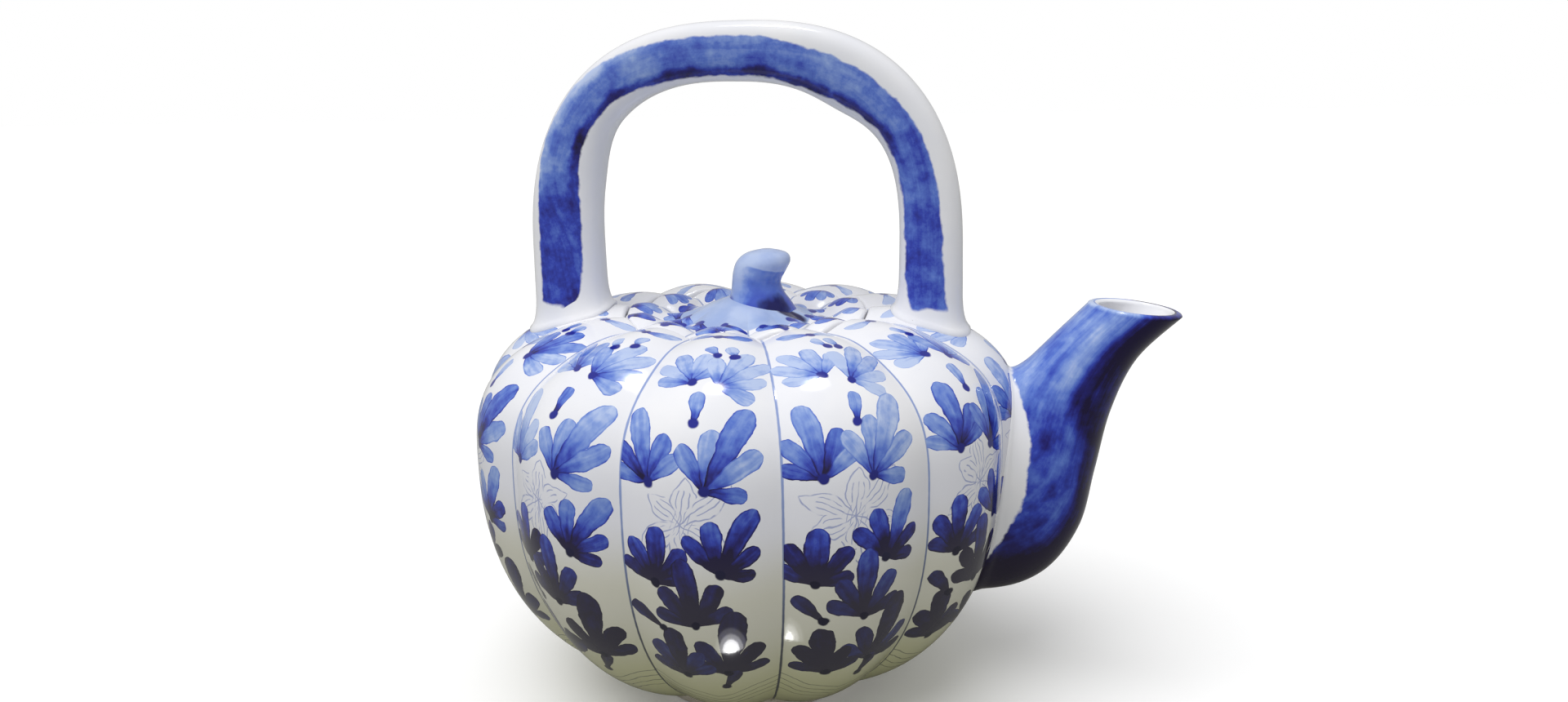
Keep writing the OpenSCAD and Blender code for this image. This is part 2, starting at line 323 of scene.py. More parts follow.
def groove_depth(a, r):
    """Depth of the grooves at angle a of the outline, where its radius is r."""
    if a > 0:
        return GROOVE_DEPTH + (CROWN_GROOVE - GROOVE_DEPTH) * ease(WAIST_GROOVE_R, CROWN_GROOVE_R, r)
    return GROOVE_DEPTH * (FOOT_GROOVE + (1 - FOOT_GROOVE) * ease(FOOT_HIGH.x, BODY_R, r))


def body_section(a, angle):
    """Radius and height of the body's skin, moved in from the crest by the groove."""
    r, z = crest(a)
    ahead = crest(a + CREST_STEP)
    along = Vector((ahead[0] - r, ahead[1] - z)).normalized()
    depth = groove(angle) * groove_depth(a, r)
    if a <= LOW_ANGLE:
        return r - depth, z
    return r - depth * along.y, z + depth * along.x


def outline_table():
    """Rows of (distance from the mouth, angle a) down the crest line, close together."""
    rows, length = [], 0.0
    steps = 3000
    first = crown_angle(MOUTH_R)
    last = crest(first)
    for i in range(steps + 1):
        a = first + (LOW_ANGLE - first) * i / steps
        here = crest(a)
        length += math.dist(here, last)
        rows.append((length, a))
        last = here
    return rows


OUTLINE = outline_table()
OUTLINE_LENGTH = OUTLINE[-1][0]


def outline_row(value, key):
    """The first row of the outline below the mouth whose key is not under a value."""
    return OUTLINE[min(len(OUTLINE) - 1, max(1, bisect.bisect_left(OUTLINE, value, key=key)))]


def angle_at(distance):
    """Angle a of the crest line at a distance down from the mouth."""
    return outline_row(distance, lambda row: row[0])[1]


def distance_at(a):
    """Distance down from the mouth at angle a of the crest line."""
    return outline_row(-a, lambda row: -row[1])[0]


def round_point(r, angle, z):
    return (r * math.cos(angle), r * math.sin(angle), z)


def body_skin_rings(angles):
    """Rings of the outside, from the foot up to the mouth's rounded edge."""
    rings = []
    for i in range(BODY_RINGS, 0, -1):
        a = LOW_ANGLE if i == BODY_RINGS else angle_at(OUTLINE_LENGTH * i / BODY_RINGS)
        sections = [(angle, *body_section(a, angle)) for angle in angles]
        rings.append([round_point(r, angle, z) for angle, r, z in sections])
    return rings


def mouth_rings(angles):
    """Rings of the mouth's edge, rounded from the crown down into the bore."""
    a = crown_angle(MOUTH_R + LIP)
    tops = [body_section(a, angle)[1] for angle in angles]
    rings = []
    steps = 6
    for step in range(steps + 1):
        turn = step / steps * math.pi / 2
        r = MOUTH_R + LIP * (1 - math.sin(turn))
        drop = LIP * (1 - math.cos(turn))
        rings.append([round_point(r, angle, top - drop) for angle, top in zip(angles, tops)])
    return rings


def cavity_rings(angles):
    """Rings of the inside, from the bore out under the crown and down to the floor."""
    r_in = BODY_R - GROOVE_DEPTH - WALL
    up = CROWN_H - GROOVE_DEPTH - WALL
    down = BELLY_H - WALL - FOOT_HIGH.z
    first = math.asin(((SEAT_Z - WAIST_Z) / up) ** (CROWN_N / 2))
    last = -math.asin(((WAIST_Z - FLOOR_Z) / down) ** (BELLY_N / 2))
    rings = [[round_point(MOUTH_R, angle, SEAT_Z) for angle in angles]]
    steps = 30
    for i in range(steps + 1):
        r, z = outline_point(first + (last - first) * i / steps, r_in, up, down)
        rings.append([round_point(r, angle, z) for angle in angles])
    rings.append([(0, 0, FLOOR_Z)])
    return rings


def body_depth(point):
    """Distance of a point outside the body's skin, in mm. It is negative inside."""
    r = math.hypot(point[0], point[1])
    lift = point[2] - WAIST_Z
    n, h = outline_half(lift)
    across, height = r / BODY_R, abs(lift) / h
    level = across ** n + height ** n
    slope = math.hypot(n * across ** (n - 1) / BODY_R, n * height ** (n - 1) / h)
    depth = groove_depth(lift, r) * groove(math.atan2(point[1], point[0]))
    return (level - 1) / max(slope, 1e-6) + depth


def strainer_cutter():
    """Seven pins along +X that bore the holes behind the spout."""
    points, faces = [], []
    ring, past = 6, 20
    for k in range(ring + 1):
        reach = 0 if k == ring else STRAINER_PITCH
        y = reach * math.sin(k * TURN / ring)
        z = STRAINER_Z + reach * math.cos(k * TURN / ring)
        pin, walls = pin_skin((BODY_R - past, y, z), (BODY_R + past, y, z), STRAINER_R)
        faces.extend([corner + len(points) for corner in wall] for wall in walls)
        points.extend(pin)
    return points, faces


def pin_skin(start, end, radius, sides=32):
    """Skin of a straight round pin."""
    start, end = Vector(start), Vector(end)
    turn = (end - start).to_track_quat("Z", "Y")
    arms = [
        turn @ Vector((radius * math.cos(TURN * i / sides), radius * math.sin(TURN * i / sides), 0))
        for i in range(sides)
    ]
    return skin([[start], [start + arm for arm in arms], [end + arm for arm in arms], [end]])


def bore(piece, surface):
    """Cuts what a closed surface holds out of a piece."""
    cutter = plain_mesh("cutter", surface)
    cut = piece.modifiers.new("bore", "BOOLEAN")
    cut.operation = "DIFFERENCE"
    cut.solver = "EXACT"
    cut.object = cutter
    bpy.context.view_layer.update()
    result = bpy.data.meshes.new_from_object(piece.evaluated_get(bpy.context.evaluated_depsgraph_get()))
    piece.modifiers.clear()
    piece.data = result
    bpy.data.objects.remove(cutter)


def body_place(corner, middle, direction):
    """Where a corner lies on its lobe: mm across from the crest, and mm down from the mouth.
    On the inside the second number is below zero."""
    _, offset = on_lobe(corner, middle)
    r = math.hypot(corner.x, corner.y)
    lift = corner.z - WAIST_Z
    n, h = outline_half(lift)
    if direction.dot(middle - Vector((0, 0, WAIST_Z))) < 0:
        return offset * r, UNPAINTED
    a = math.copysign(math.atan2((abs(lift) / h) ** (n / 2), (r / BODY_R) ** (n / 2)), lift)
    return offset * r, distance_at(a)


def make_body():
    angles = lobe_angles()
    rings = [[(0, 0, BODY_LOW.z)]] + body_skin_rings(angles) + mouth_rings(angles) + cavity_rings(angles)
    material = painted_body_material()
    piece = make_piece("pumpkin_body", skin(rings), "pot", "body_shell", material)
    bore(piece, strainer_cutter())
    map_corners(piece, "on_lobe", body_place)
    map_corners(piece, "to_groove", lambda corner, middle, _: from_groove(corner, middle))


def make_foot():
    outer, inner, top = FOOT_HIGH.x, FOOT_HIGH.x - FOOT_WIDTH, FOOT_HIGH.z
    outline = rounded([(inner, top, 0.1), (inner, 0, 1.2), (outer - 1, 0, 1.2), (outer, top, 0.1)])
    material = bare_clay_material()
    make_piece("bare_foot_ring", lathe(outline), "pot", "foot_ring", material)


def make_gallery():
    low, high = GALLERY_LOW.z, GALLERY_HIGH.z
    inner, outer = LEDGE_INNER_R, GALLERY_HIGH.x
    outline = rounded([(inner, high, 0.9), (inner, low, 0.9), (outer, low, 1.5), (outer, high, 0.1)])
    material = white_glaze_material()
    make_piece("lid_ledge", lathe(outline), "pot", "lid_gallery", material)


# ---- members luted onto the body ----

def enter_body(line, low, high):
    """The parameter between low, inside the body, and high where a line leaves the body's skin,
    less the depth that a luted member reaches into it."""
    for _ in range(24):
        middle = (low + high) / 2
        if body_depth(line(middle)) < -EMBED:
            low = middle
        else:
            high = middle
    return high


def fillet(clear, spread, height):
    """How far a luted member spreads at a distance clear of the body's skin, as a quarter of an ellipse."""
    share = min(1.0, max(0.0, 1 - clear / height))
    return spread * (1 - math.sqrt(1 - share * share))


def spout_point(t, turn, inset):
    """A point of the spout's skin at station t and angle turn, moved inwards by inset."""
    top_x, top_z, low_x, low_z, half_width = through(SPOUT_KEYS, t)
    top, low = Vector((top_x, 0, top_z)), Vector((low_x, 0, low_z))
    half = (top - low).length / 2
    reach = (top - low).normalized() * (half - inset) * math.cos(turn)
    reach.y -= (half_width - inset) * math.sin(turn)
    point = (top + low) / 2 + reach
    if inset > 0:
        return point
    return point + reach.normalized() * fillet(body_depth(point), ROOT_FLARE, ROOT_FLARE_H)


def spout_turn(column):
    """Angle round the spout of one column of its points."""
    return TURN * (column % SPOUT_SIDES) / SPOUT_SIDES


def spout_side(inset):
    """Rings of one side of the spout's wall, from where it enters the body to just under the lip."""
    last = len(SPOUT_KEYS) - 1
    columns = []
    for turn in map(spout_turn, range(SPOUT_SIDES)):
        start = enter_body(lambda t: spout_point(t, turn, inset), 0, last - 1)
        stations = (start + (last - start) * k / SPOUT_STATIONS for k in range(SPOUT_STATIONS + 1))
        columns.append([spout_point(t, turn, inset) for t in stations])
    return [list(ring) for ring in zip(*columns)]


def spout_lip():
    """Rings over the rounded edge of the spout's mouth, from the outside to the inside."""
    last = len(SPOUT_KEYS) - 1
    rings = []
    steps = 6
    for k in range(1, steps):
        turn = k / steps * math.pi
        inset = max(SPOUT_WALL / 2 * (1 - math.cos(turn)), 1e-6)
        rise = Vector((0, 0, LIP_RISE * math.sin(turn)))
        rings.append([spout_point(last, spout_turn(i), inset) + rise for i in range(SPOUT_SIDES)])
    return rings


def make_spout():
    outside, lip, inside = spout_side(0), spout_lip(), spout_side(SPOUT_WALL)
    surface = skin(outside + lip + inside[::-1], closed=True, flipped=True)
    piece = make_piece("swan_neck_spout", surface, "pot", "spout", spout_material())
    map_spout(piece, len(outside) + len(lip) // 2)


def map_spout(piece, outer_rings):
    """Stores how far each corner is from the body, in mm, and the number of its ring, which is below
    zero on the inside. A second map has its place round the spout: 1 over the top and -1 under it."""
    def from_body(vertex):
        ring = vertex // SPOUT_SIDES
        return body_depth(piece.data.vertices[vertex].co / MM), ring if ring <= outer_rings else UNPAINTED

    def round_spout(vertex):
        turn = spout_turn(vertex)
        return math.cos(turn), math.sin(turn)

    map_vertices(piece, "from_body", from_body)
    map_vertices(piece, "round_spout", round_spout)


def arch_point(s):
    """Middle line of the handle, s from -1 at the left foot to 1 at the right foot."""
    v = abs(s)
    down = max(0.0, (v - 1 + LEG_SHARE) / LEG_SHARE)
    a = math.pi / 2 * min(1.0, v / (1 - LEG_SHARE))
    x = math.copysign(ARCH_R * math.sin(a) ** (2 / ARCH_N), s)
    z = ARCH_SPRING_Z - (ARCH_SPRING_Z - LEG_BOTTOM_Z) * down
    z += (ARCH_TOP_Z - ARCH_SPRING_Z) * max(0.0, math.cos(a)) ** (2 / ARCH_N)
    return Vector((x, 0, z))


def arch_inwards(s):
    """Direction across the handle, in its plane, that points to the inside of the arch."""
    nudge = 0.004
    along = (arch_point(s + nudge) - arch_point(s - nudge)).normalized()
    return Vector((along.z, 0, -along.x))


def inner_swell(s):
    """How much thicker the handle is on its inside."""
    shoulder = SHOULDER_SWELL * math.exp(-((s - SHOULDER_AT) / SHOULDER_REACH) ** 2)
    return shoulder + LEG_SWELL * (1 - ease(LEG_SWELL_FULL, LEG_SWELL_START, s))


def grip_point(s, turn):
    """A point of the handle's skin: a rounded square across the middle line, spread at the feet."""
    half = (GRIP_T + LEG_EXTRA * ease(LEG_START, 1, abs(s))) / 2
    if math.cos(turn) > 0:
        half += inner_swell(s)
    reach = arch_inwards(s) * half * signed_power(math.cos(turn), 2 / GRIP_N)
    reach.y = GRIP_D / 2 * signed_power(math.sin(turn), 2 / GRIP_N)
    point = arch_point(s) + reach
    return point + reach.normalized() * fillet(body_depth(point), FLARE, FLARE_H)


def arch_lengths(values):
    """Mm along the middle line from the first of a row of s values to each of them."""
    lengths = [0.0]
    for before, after in zip(values, values[1:]):
        lengths.append(lengths[-1] + (arch_point(after) - arch_point(before)).length)
    return lengths


def even_stations(count):
    """Values of s that are evenly spaced along the handle's middle line."""
    fine = 2000
    values = [-1 + 2 * i / fine for i in range(fine + 1)]
    lengths = arch_lengths(values)
    stations, k = [], 0
    for i in range(count + 1):
        wanted = lengths[-1] * i / count
        while lengths[k] < wanted - 1e-9 and k < fine:
            k += 1
        stations.append(values[k])
    return stations


def make_handle():
    sides, count = 64, 200
    stations = even_stations(count)
    columns = []
    for turn in (TURN * (i + 0.5) / sides for i in range(sides)):
        left = enter_body(lambda s: grip_point(s, turn), -1, -0.6)
        right = -enter_body(lambda s: grip_point(-s, turn), -1, -0.6)
        columns.append([grip_point(fit_station(s, left, right), turn) for s in stations])
    rings = [list(ring) for ring in zip(*columns)]
    ends = [sum(ring, Vector()) / sides for ring in (rings[0], rings[-1])]
    surface = skin([[ends[0]]] + rings + [[ends[1]]], flipped=True)
    piece = make_piece("overhead_handle", surface, "pot", "handle_arch", handle_material())
    map_handle(piece, sides, stations)


def fit_station(s, left, right):
    """Moves a station of a straight leg so that the leg starts where it enters the body."""
    knee = 0.8
    if abs(s) < knee:
        return s
    foot = abs(left if s < 0 else right)
    return math.copysign(knee + (abs(s) - knee) / (1 - knee) * (foot - knee), s)


def map_handle(piece, sides, stations):
    """Stores mm along the handle from its middle, and mm inwards from its middle line."""
    lengths = arch_lengths(stations)

    def on_handle(vertex):
        station = min(len(stations) - 1, max(0, (vertex - 1) // sides))
        s = stations[station]
        across = (piece.data.vertices[vertex].co / MM - arch_point(s)).dot(arch_inwards(s))
        return lengths[station] - lengths[-1] / 2, across

    map_vertices(piece, "on_handle", on_handle)


# ---- lid ----

def lid_crest(r):
    """Height of the lid's top over its lobes at radius r."""
    if r < VALLEY_R:
        return VALLEY_Z + (LID_TOP_Z - VALLEY_Z) * (1 + math.cos(math.pi * r / VALLEY_R)) / 2
    if r < BRIM_R:
        return VALLEY_Z + (BRIM_Z - VALLEY_Z) * ease(VALLEY_R, BRIM_R, r)
    return BRIM_Z - (BRIM_Z - RIM_Z) * ((r - BRIM_R) / (LID_R - BRIM_R)) ** 2


def lid_height(r, angle):
    return lid_crest(r) - FLUTE_DEPTH * ease(FLUTE_START_R, BRIM_R, r) * groove(angle - LID_TURN)


def lid_top_rings(angles):
    """Rings of the lid's top and of its rounded edge."""
    edge, top_steps, edge_steps = 0.9, 44, 5
    rings = [[(0, 0, lid_height(0.01, 0))]]
    for i in range(1, top_steps + 1):
        r = (LID_R - edge) * i / top_steps
        rings.append([round_point(r, angle, lid_height(r, angle)) for angle in angles])
    for k in range(1, edge_steps + 1):
        turn = k / edge_steps * math.pi / 2
        r = LID_R - edge + edge * math.sin(turn)
        drop = edge * (1 - math.cos(turn))
        rings.append([round_point(r, angle, lid_height(LID_R - edge, angle) - drop) for angle in angles])
    return rings


def lid_under_rings(angles):
    """Rings of the lid's underside, from its edge in to the middle of the hollow."""
    bevel, steps = 0.5, 12
    levels = [(LID_R, bevel), (LID_R - bevel, 0), (HOLLOW_R + 0.3, 0), (HOLLOW_R, 0)]
    for i in range(steps):
        r = HOLLOW_R * (1 - i / steps) - 0.01
        levels.append((r, HOLLOW_EDGE + HOLLOW_H * (1 + math.cos(math.pi * r / HOLLOW_R)) / 2))
    rings = [[round_point(r, angle, LID_SEAT_Z + lift) for angle in angles] for r, lift in levels]
    return rings + [[(0, 0, LID_SEAT_Z + HOLLOW_EDGE + HOLLOW_H)]]


def make_lid():
    angles = [angle + LID_TURN for angle in lobe_angles()]
    surface = skin(lid_top_rings(angles) + lid_under_rings(angles), flipped=True)
    piece = make_piece("fluted_lid", surface, "lid", "lid_cap", painted_lid_material())
    bore(piece, vent_cutter())
    map_corners(piece, "on_lobe", lid_place)
    map_corners(piece, "to_groove", lambda corner, middle, _: from_groove(corner, middle, LID_TURN))


def vent_cutter():
    x, y = VENT_R * math.cos(VENT_TURN), VENT_R * math.sin(VENT_TURN)
    return pin_skin((x, y, LID_SEAT_Z - 4), (x, y, LID_TOP_Z + 4), VENT_RADIUS, sides=40)


def lid_place(corner, middle, direction):
    """Mm across from the crest of the lid's lobe, and mm out from its middle. Below the rounded brim
    the second number is below zero."""
    _, offset = on_lobe(corner, middle, LID_TURN)
    r = math.hypot(corner.x, corner.y)
    return offset * r, UNPAINTED if direction.z < BRIM_EDGE else r


def make_flange():
    low, high = FLANGE_LOW.z, FLANGE_HIGH.z
    inner, outer = FLANGE_HIGH.x - COLLAR_WALL, FLANGE_HIGH.x
    outline = rounded([(inner, high, 0.1), (inner, low, 1), (outer, low, 1.3), (outer, high, 0.1)])
    material = white_glaze_material()
    make_piece("lid_collar", lathe(outline), "lid", "lid_flange", material)


def stem_ring(t, sides):
    x, z, half_x, half_y = through(STEM_KEYS, t)
    turns = [TURN * i / sides for i in range(sides)]
    return [(x + half_x * math.cos(a), half_y * math.sin(a), z) for a in turns]


def make_stem():
    sides, count = 72, 60
    last = len(STEM_KEYS) - 1
    rings = [stem_ring(last * i / count, sides) for i in range(count + 1)]
    low = (STEM_KEYS[0][0], 0, STEM_KEYS[0][1])
    high = (STEM_KEYS[-1][0], 0, STEM_KEYS[-1][1])
    surface = skin([[low]] + rings + [[high]])
    make_piece("stem_knob", surface, "lid", "lid_stem", stem_material())


# ---- material graphs ----

def srgb(red, green, blue):
    """Scene colour of an sRGB colour given from 0 to 255."""
    def linear(level):
        level /= 255
        return level / 12.92 if level <= 0.04045 else ((level + 0.055) / 1.055) ** 2.4
    return (linear(red), linear(green), linear(blue), 1)


class Signal:
    """One output of a node, which does arithmetic as a number does. Comparisons give 0 or 1."""

    def __init__(self, graph, socket):
        self.graph = graph
        self.socket = socket

    def math(self, operation, *others):
        return self.graph.signal("ShaderNodeMath", enumerate((self, *others)), operation=operation)

    def vector(self, operation, *others, output=0):
        inputs = enumerate((self, *others))
        return self.graph.signal("ShaderNodeVectorMath", inputs, output, operation=operation)

    def __add__(self, other):
        return self.math("ADD", other)

    __radd__ = __add__

    def __sub__(self, other):
        return self.math("SUBTRACT", other)

    def __rsub__(self, other):
        return (self * -1) + other

    def __mul__(self, other):
        return self.math("MULTIPLY", other)

    __rmul__ = __mul__

    def __truediv__(self, other):
        return self.math("DIVIDE", other)

    def __lt__(self, other):
        return self.math("LESS_THAN", other)

    def __gt__(self, other):
        return self.math("GREATER_THAN", other)

    def __abs__(self):
        return self.math("ABSOLUTE")

    def ease(self, low, high):
        """Smooth step from 0 at low to 1 at high. low may be above high."""
        ends = (min(low, high), max(low, high), int(low > high), int(low < high))
        inputs = enumerate((self, *ends))
        return self.graph.signal("ShaderNodeMapRange", inputs, interpolation_type="SMOOTHSTEP")

    def spread(self, amount):
        """Turns a vector of numbers from 0 to 1 into a shift of up to amount each way, across and down."""
        return self.vector("MULTIPLY_ADD", (2 * amount, 2 * amount, 0), (-amount, -amount, 0))

    def parts(self):
        """The three numbers of a vector."""
        node = self.graph.node("ShaderNodeSeparateXYZ", {0: self})
        return [Signal(self.graph, out) for out in node.outputs]


class Graph:
    """One material's node tree."""

    def __init__(self, name):
        self.material = bpy.data.materials.new(name)
        self.material.use_nodes = True
        self.tree = self.material.node_tree
        self.tree.nodes.clear()

    def node(self, kind, inputs=(), **settings):
        """A new node. inputs says what each input takes, by its name or number."""
        made = self.tree.nodes.new(kind)
        for key, value in settings.items():
            setattr(made, key, value)
        for key, value in dict(inputs).items():
            if isinstance(value, Signal):
                self.tree.links.new(value.socket, made.inputs[key])
            else:
                made.inputs[key].default_value = value
        return made

    def signal(self, kind, inputs=(), output=0, **settings):
        """One output of a new node."""
        return Signal(self, self.node(kind, inputs, **settings).outputs[output])

    def finish(self, surface):
        """The material, with a shader's output as its surface."""
        self.node("ShaderNodeOutputMaterial", {"Surface": surface})
        return self.material

    def uv(self, name):
        return self.signal("ShaderNodeUVMap", uv_map=name)

    def position(self):
        """The point's place on the object, in millimetres."""
        place = self.signal("ShaderNodeTexCoord", output="Object")
        return self.signal("ShaderNodeVectorMath", {0: place, "Scale": 1 / MM}, operation="SCALE")

    def join(self, x=0.0, y=0.0, z=0.0):
        return self.signal("ShaderNodeCombineXYZ", enumerate((x, y, z)))

    def noise(self, place, scale, detail=2.0, roughness=0.5, output=0):
        inputs = {"Vector": place, "Scale": scale, "Detail": detail, "Roughness": roughness}
        return self.signal("ShaderNodeTexNoise", inputs, output, noise_dimensions="3D")

    def cloud(self, scale, detail=2.0, roughness=0.5):
        """Noise over the object, about zero."""
        return self.noise(self.position(), scale, detail, roughness) - 0.5

    def from_oval(self, middle, size):
        """Distance from the middle of an oval solid, in units of its half size."""
        return self.position().vector("SUBTRACT", middle).vector("DIVIDE", size).vector("LENGTH", output=1)

    def dice(self, place, output=0):
        """A random number (output 0) or vector (output 1) that belongs to a place."""
        return self.signal("ShaderNodeTexWhiteNoise", {"Vector": place}, output, noise_dimensions="3D")

    def mix(self, share, under, over):
        """under where share is 0 and over where it is 1, for colours."""
        return self.signal("ShaderNodeMix", {0: share, 6: under, 7: over}, 2, data_type="RGBA")

    def choose(self, share, under, over):
        """The same for vectors."""
        return self.signal("ShaderNodeMix", {0: share, 4: under, 5: over}, 1, data_type="VECTOR")

    def ramp(self, value, stops):
        """A colour looked up between (position, colour) stops."""
        node = self.node("ShaderNodeValToRGB", {0: value})
        elements = node.color_ramp.elements
        while len(elements) < len(stops):
            elements.new(0.5)
        for element, (position, colour) in zip(elements, stops):
            element.position = position
            element.color = colour
        return Signal(self, node.outputs[0])

    def curve(self, value, points):
        """A number looked up on a smooth curve through points, with 0 to 1 across."""
        node = self.node("ShaderNodeFloatCurve", {"Value": value})
        knots = node.mapping.curves[0].points
        while len(knots) < len(points):
            knots.new(0.5, 0.5)
        for knot, place in zip(knots, points):
            knot.location = place
        node.mapping.update()
        return Signal(self, node.outputs[0])

    def profile(self, value, points):
        """The same for points of any size."""
        low_x, high_x = points[0][0], points[-1][0]
        low_y = min(y for _, y in points)
        size_y = max(y for _, y in points) - low_y
        knots = [((x - low_x) / (high_x - low_x), (y - low_y) / size_y) for x, y in points]
        return self.curve((value - low_x) / (high_x - low_x), knots) * size_y + low_y


# ---- glaze ----

GLAZE_ROUGHNESS, GLAZE_IOR, SPOUT_IOR = 0.085, 1.42, 1.3
WAVE_HEIGHT = 0.02                  # unevenness of the glaze, mm
CLAY_ROUGHNESS, CLAY_GRAIN_HEIGHT = 0.85, 0.12
WHITE = srgb(243, 243, 246)


def glaze(graph, colour, ior=GLAZE_IOR):
    """Finishes a material as fired gloss glaze over a colour."""
    waves = graph.noise(graph.position(), 0.16, 3.0) + graph.noise(graph.position(), 1.6, 1.0) * 0.12
    bump = graph.signal("ShaderNodeBump", {"Strength": 0.35, "Distance": WAVE_HEIGHT * MM, "Height": waves})
    return graph.finish(graph.signal("ShaderNodeBsdfPrincipled", {
        "Base Color": colour,
        "Roughness": GLAZE_ROUGHNESS,
        "IOR": ior,
        "Normal": bump,
    }))


def white_ground(graph):
    """Bluish white glaze with faint clouding and a few iron specks."""
    place = graph.position()
    cloud = graph.noise(place, 0.05, 3.0)
    speck = graph.noise(place, 1.3, 1.0).ease(0.80, 0.86)
    ground = graph.mix(cloud.ease(0.35, 0.7), srgb(236, 237, 243), WHITE)
    return graph.mix(speck * 0.5, ground, srgb(150, 140, 130))


def white_glaze_material():
    graph = Graph("white_glaze")
    return glaze(graph, white_ground(graph))


def bare_clay_material():
    """Unglazed, slightly sandy clay with a toasted edge."""
    graph = Graph("bare_clay")
    place = graph.position()
    grain = graph.noise(place, 2.4, 4.0, 0.7)
    toast = graph.noise(place, 0.15, 2.0)
    clay = graph.mix(grain.ease(0.35, 0.7), srgb(214, 203, 186), srgb(232, 226, 214))
    clay = graph.mix(toast.ease(0.5, 0.8) * 0.4, clay, srgb(196, 160, 126))
    bump = graph.signal("ShaderNodeBump", {"Distance": CLAY_GRAIN_HEIGHT * MM, "Height": grain})
    return graph.finish(graph.signal("ShaderNodeBsdfPrincipled", {
        "Base Color": clay,
        "Roughness": CLAY_ROUGHNESS,
        "Normal": bump,
    }))


# ---- brush painting ----

COBALT = [
    (0.0, srgb(186, 202, 236)),
    (0.22, srgb(136, 162, 222)),
    (0.42, srgb(92, 122, 208)),
    (0.62, srgb(54, 72, 182)),
    (0.80, srgb(38, 38, 124)),
    (1.0, srgb(28, 20, 62)),
]

# Half width of a one-stroke petal along its length, from where the brush lands to its round tip
PETAL = [(0, 0), (0.05, 0.24), (0.3, 0.60), (0.6, 0.95), (0.76, 1), (0.89, 0.86), (0.97, 0.50), (1, 0)]

# A fan of brush strokes: where its strokes meet, in mm across the lobe from its crest and mm down
# from the mouth, then the (lean, length) of each stroke. A lean of 0 degrees points up to the mouth,
# and 90 degrees to the right.
Fan = namedtuple("Fan", "across down strokes")

BODY_FANS = [
    Fan(0, 8, [(-84, 8), (84, 8)]),
    Fan(1.3, 17.2, [(-25, 5)]),
    Fan(5.2, 17.2, [(-15, 5)]),
    Fan(-3.6, 27.5, [(-98, 9), (-66, 11), (-34, 12), (-2, 11), (34, 9)]),
    Fan(3.2, 30, [(-14, 11), (20, 14), (50, 13), (82, 10.5), (118, 9.5)]),
    Fan(-1.2, 40.5, [(4, 8)]),
    Fan(-11, 54, [(-72, 9.5), (-40, 12), (-5, 17.5), (28, 12), (56, 10)]),
    Fan(2.4, 55, [(-24, 12), (10, 14), (32, 21), (62, 15), (104, 9.5)]),
    Fan(5.6, 74.5, [(-42, 12), (-10, 13), (26, 17), (60, 10.5), (98, 8)]),
    Fan(-10.8, 79, [(-66, 9), (-34, 12), (-2, 14.5), (34, 12), (70, 8.5)]),
    Fan(-0.6, 89, [(-68, 10.5), (-36, 13), (-3, 18), (32, 13), (66, 10)]),
    Fan(-9, 91, [(-50, 9.5)]),
    Fan(4.6, 105.5, [(-58, 11), (-24, 13), (12, 21), (44, 13), (78, 10)]),
    Fan(-6.8, 108, [(-72, 9), (-40, 13), (-14, 17), (18, 11), (50, 9)]),
    Fan(2.5, 112, [(20, 8)]),
]

PETAL_WIDTH, BRUSH_WIDTH = 0.115, 0.85   # a stroke's half width: a share of its length, and mm more
STROKES_PER_FAN = 10                # stroke k of fan f is number f * STROKES_PER_FAN + k
FAN_NUDGE, FAN_TURN = 1.2, 0.34     # how far a fan moves, in mm, and the range that it turns in
DOT_R = 1.45                        # outer radius of the dot where a fan's strokes meet, mm


def stroke(graph, under, place, fan, lean, length, number, frayed):
    """Lays one brush stroke over the strokes already laid.
    The result holds how far across and along its stroke a point lies, and the stroke's number."""
    local = graph.signal("ShaderNodeMapping", {
        "Vector": place,
        "Location": (fan.across, fan.down, -number),
        "Rotation": (0, 0, math.radians(lean) + math.pi),
        "Scale": (PETAL_WIDTH * length + BRUSH_WIDTH, length, 1),
    }, vector_type="TEXTURE")
    across, along, _ = local.parts()
    covered = abs(across) * frayed < graph.curve(along, PETAL)
    return graph.choose(covered, under, local)


def shifted(graph, place, lobe, fan, number):
    """The place on the lobe, moved and turned a little about a fan, differently on each lobe."""
    chance = graph.dice(graph.join(lobe, number), output=1)
    moved = place.vector("ADD", chance.spread(FAN_NUDGE))
    turn = (chance.parts()[2] - 0.5) * FAN_TURN
    inputs = {"Vector": moved, "Center": (fan.across, fan.down, 0), "Angle": turn}
    return graph.signal("ShaderNodeVectorRotate", inputs, rotation_type="Z_AXIS")


def lay_fans(graph, place, lobe, fans):
    """All strokes of the fans, and the dark dots where each fan's strokes meet."""
    laid = graph.join()
    dots = None
    frayed = graph.noise(graph.position(), 0.5, 2.0) * 0.24 + 0.88
    for order, fan in enumerate(fans, start=1):
        own = shifted(graph, place, lobe, fan, order)
        for k, (lean, length) in enumerate(fan.strokes):
            laid = stroke(graph, laid, own, fan, lean, length, order * STROKES_PER_FAN + k, frayed)
        away = own.vector("DISTANCE", (fan.across, fan.down, 0), output=1)
        dot = (away * frayed).ease(DOT_R, 1.0)
        dots = dot if dots is None else dots.math("MAXIMUM", dot)
    return laid, dots


